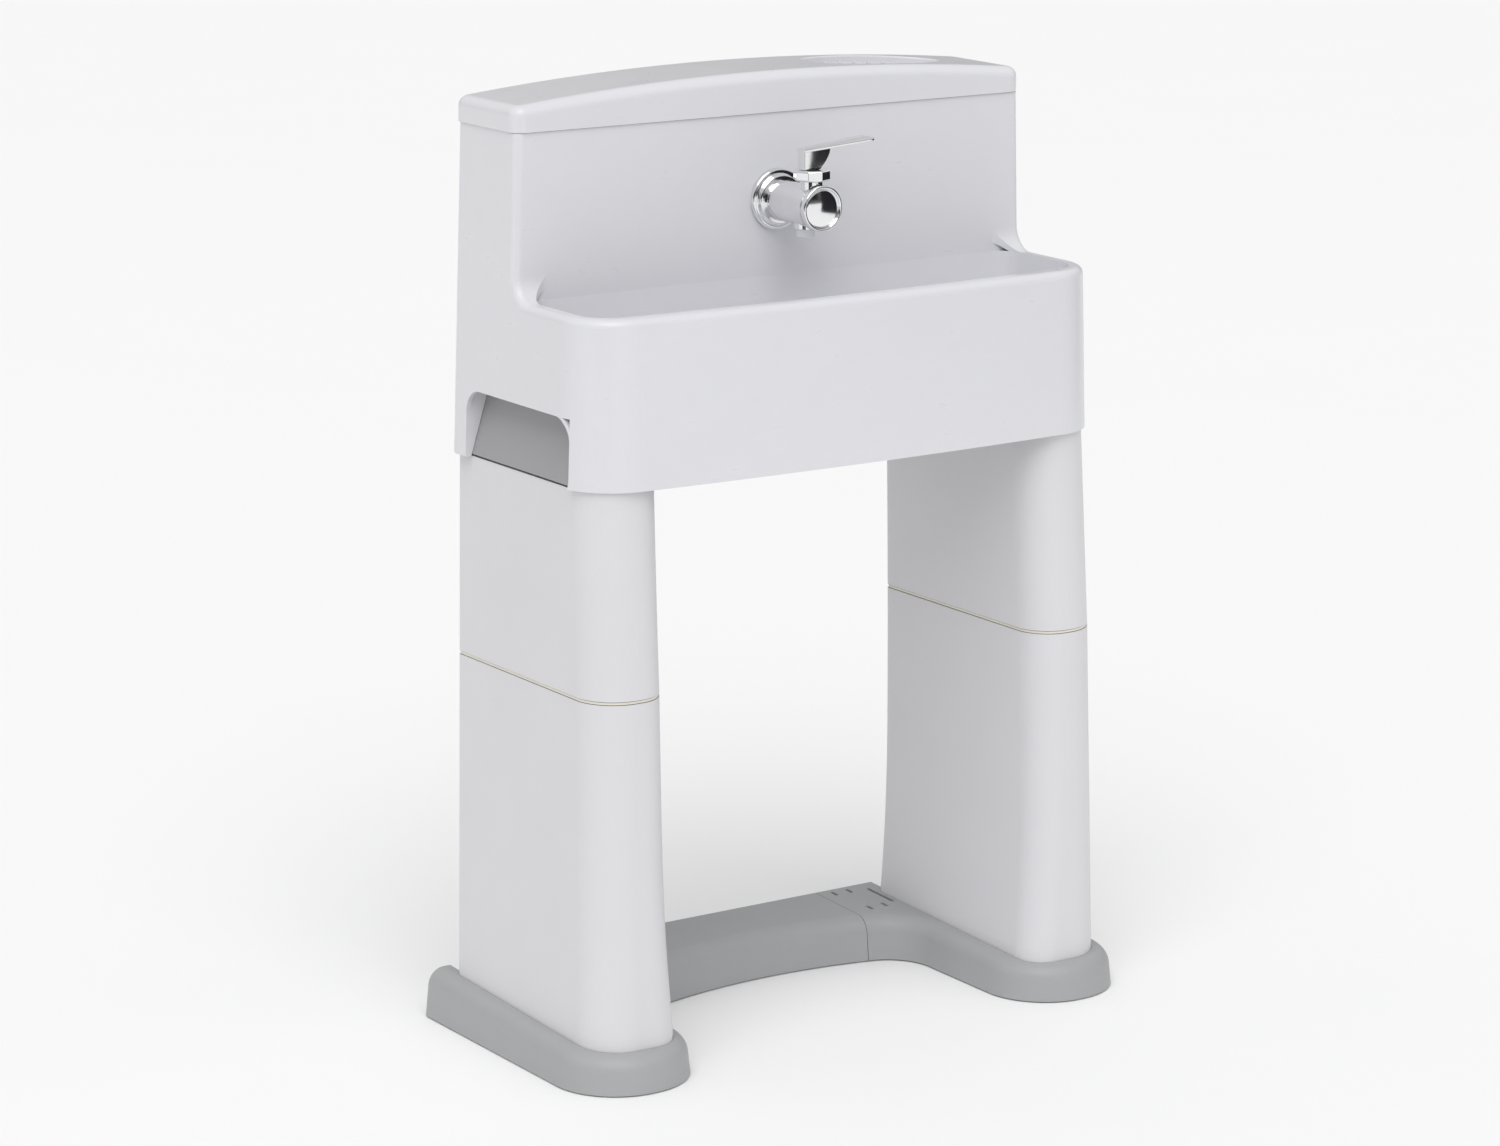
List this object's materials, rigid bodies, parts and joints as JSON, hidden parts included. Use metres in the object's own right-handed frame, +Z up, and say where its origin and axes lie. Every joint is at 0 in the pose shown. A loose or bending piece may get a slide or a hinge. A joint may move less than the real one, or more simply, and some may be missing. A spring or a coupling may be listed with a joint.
{
  "type": "portable handwash sink",
  "caption": "Child-height free-standing handwash sink: a white basin with a lidded water tank and lever tap behind it, on two stacked legs joined by a grey floor base.",
  "frame": {"origin": "on the floor, at the centre of the base's outline", "axes": "+Z up, +Y to the rear where the tank is, +X to the right of someone facing the basin"},
  "size_m": [0.488, 0.237, 0.702],
  "materials": {
    "white_gloss": "moulded, smooth satin gloss",
    "leg_white": "moulded, fine texture",
    "base_grey": "moulded, fine texture",
    "tub_grey": "moulded, fine texture",
    "ring_cream": "moulded, smooth",
    "tank_natural": "natural polymer, slightly milky",
    "tap_chrome": "polished plate",
    "spout_plastic": "smooth",
    "stem_brass": "turned",
    "nut_nylon": "moulded",
    "drain_plastic": "moulded, smooth",
    "strainer_steel": "pressed, brushed",
    "rubber_dark": "moulded"
  },
  "bodies": {
    "base": {"left_foot": "base_grey", "right_foot": "base_grey", "cross_bar": "base_grey", "rubber_pads": "rubber_dark", "lower_leg_left": "leg_white", "lower_leg_right": "leg_white", "leg_coupler_left": "ring_cream", "leg_coupler_right": "ring_cream"},
    "uprights": {"upper_leg_left": "leg_white", "upper_leg_right": "leg_white"},
    "tub": {"waste_tub": "tub_grey"},
    "sink": {"sink_housing": "white_gloss", "water_tank": "tank_natural", "tap_flange": "tap_chrome", "tap_body": "tap_chrome", "tap_end_cap": "tap_chrome", "tap_collar": "tap_chrome", "tap_spout": "spout_plastic", "tap_gasket_outer": "rubber_dark", "tap_gasket_inner": "rubber_dark", "tap_shank_nut": "nut_nylon", "drain_body": "drain_plastic", "drain_gasket": "rubber_dark", "drain_nut": "nut_nylon"},
    "lid": {"tank_lid": "white_gloss", "lid_seal": "rubber_dark"},
    "lever": {"tap_lever": "tap_chrome", "tap_stem": "stem_brass", "stem_oring": "rubber_dark"},
    "strainer": {"drain_strainer": "strainer_steel"}
  },
  "joints": [
    {"name": "leg_lift", "type": "slide", "parent": "base", "child": "uprights", "axis": [0, 0, 1], "range_m": [0, 0.06]},
    {"name": "tub_lift", "type": "slide", "parent": "uprights", "child": "tub", "axis": [0, 0, 1], "range_m": [0, 0.1]},
    {"name": "sink_lift", "type": "slide", "parent": "tub", "child": "sink", "axis": [0, 0, 1], "range_m": [0, 0.12]},
    {"name": "lid_lift", "type": "slide", "parent": "sink", "child": "lid", "axis": [0, 0, 1], "range_m": [0, 0.12]},
    {"name": "lever_turn", "type": "hinge", "parent": "sink", "child": "lever", "pos_m": [0, -0.028, 0.64], "axis": [0, 0, 1], "range_deg": [-90, 0]},
    {"name": "strainer_lift", "type": "slide", "parent": "sink", "child": "strainer", "axis": [0, 0, 1], "range_m": [0, 0.05]}
  ]
}
